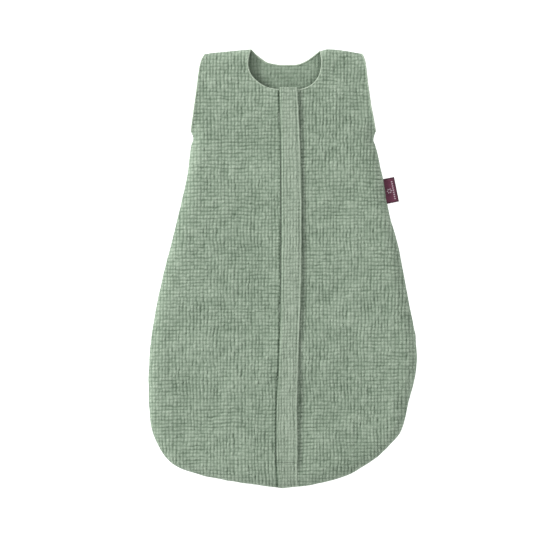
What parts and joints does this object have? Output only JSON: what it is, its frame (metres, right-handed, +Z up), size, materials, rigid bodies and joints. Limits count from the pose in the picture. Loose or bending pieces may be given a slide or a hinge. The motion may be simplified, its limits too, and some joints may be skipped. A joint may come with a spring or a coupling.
{
  "type": "baby sleeping bag",
  "caption": "Sleeveless baby sleeping bag in crinkled muslin, pear-shaped, open at neck and arms, with a front zip under a placket.",
  "frame": {"origin": "under the middle of the bag, on the surface that it lies on", "axes": "+X across to the wearer's left, +Y from hem to neck, +Z up out of the front"},
  "size_m": [0.4276, 0.7, 0.022],
  "materials": {
    "outer": "crinkled double gauze cotton",
    "lining": "crinkled double gauze cotton",
    "binding": "turned cotton edge",
    "zip_tape": "woven polyester tape",
    "zip_coil": "smooth",
    "zip_metal": "satin",
    "brand_label": "woven satin",
    "care_label": "woven satin"
  },
  "bodies": {
    "bag": {"back_outer": "outer", "back_lining": "lining", "neck_binding_back": "binding", "front_right_lining": "lining", "front_left_lining": "lining", "front_right_outer": "outer", "front_left_outer": "outer", "side_right_seam": "lining", "side_left_seam": "lining", "shoulder_right_seam": "lining", "shoulder_left_seam": "lining", "armhole_front_right_binding": "binding", "armhole_front_left_binding": "binding", "armhole_back_right_binding": "binding", "armhole_back_left_binding": "binding", "zip_right_tape_tail": "zip_tape", "zip_left_tape_tail": "zip_tape", "zip_bottom_stop": "zip_metal", "zip_end_cover": "lining", "placket_lower_end": "outer", "care_label": "care_label"},
    "left_flap": {"flap_left_lining": "lining", "flap_left_outer": "outer", "neck_left_binding": "binding", "zip_left_tape": "zip_tape", "zip_left_coil": "zip_coil", "zip_left_top_stop": "zip_metal"},
    "right_flap": {"flap_right_lining": "lining", "flap_right_outer": "outer", "neck_right_binding": "binding", "zip_right_tape": "zip_tape", "zip_right_coil": "zip_coil", "zip_right_top_stop": "zip_metal"},
    "placket": {"placket_outer": "outer", "placket_facing": "lining"},
    "slider": {"zip_slider": "zip_metal", "zip_slider_post": "zip_metal"},
    "pull": {"zip_pull": "zip_metal"},
    "label": {"side_label": "brand_label"}
  },
  "joints": [
    {"name": "zip_slide", "type": "slide", "parent": "left_flap", "child": "slider", "axis": [0, -1, 0], "range_m": [0, 0.555]},
    {"name": "left_front_open", "type": "hinge", "parent": "bag", "child": "left_flap", "pos_m": [-0.014, -0.336, 0.015], "axis": [0.0629, -0.998, 0], "range_deg": [0, 65.1]},
    {"name": "right_front_open", "type": "hinge", "parent": "bag", "child": "right_flap", "pos_m": [0.014, -0.336, 0.015], "axis": [0.0629, 0.998, 0], "range_deg": [0, 65.1]},
    {"name": "placket_fold", "type": "hinge", "parent": "left_flap", "child": "placket", "pos_m": [-0.0065, 0, 0.0169], "axis": [0, -1, 0], "range_deg": [0, 85]},
    {"name": "pull_swing", "type": "hinge", "parent": "slider", "child": "pull", "pos_m": [0, 0.2727, 0.0194], "axis": [0, 0, 1], "range_deg": [0, 40]},
    {"name": "label_flip", "type": "hinge", "parent": "bag", "child": "label", "pos_m": [0.16424, 0.10308, 0.003], "axis": [0.2005, -0.9797, 0], "range_deg": [0, 90]}
  ],
  "couplings": [
    {"joint": "left_front_open", "follows": "zip_slide", "rad_per_m": 2.0441},
    {"joint": "right_front_open", "follows": "zip_slide", "rad_per_m": 2.0441}
  ]
}
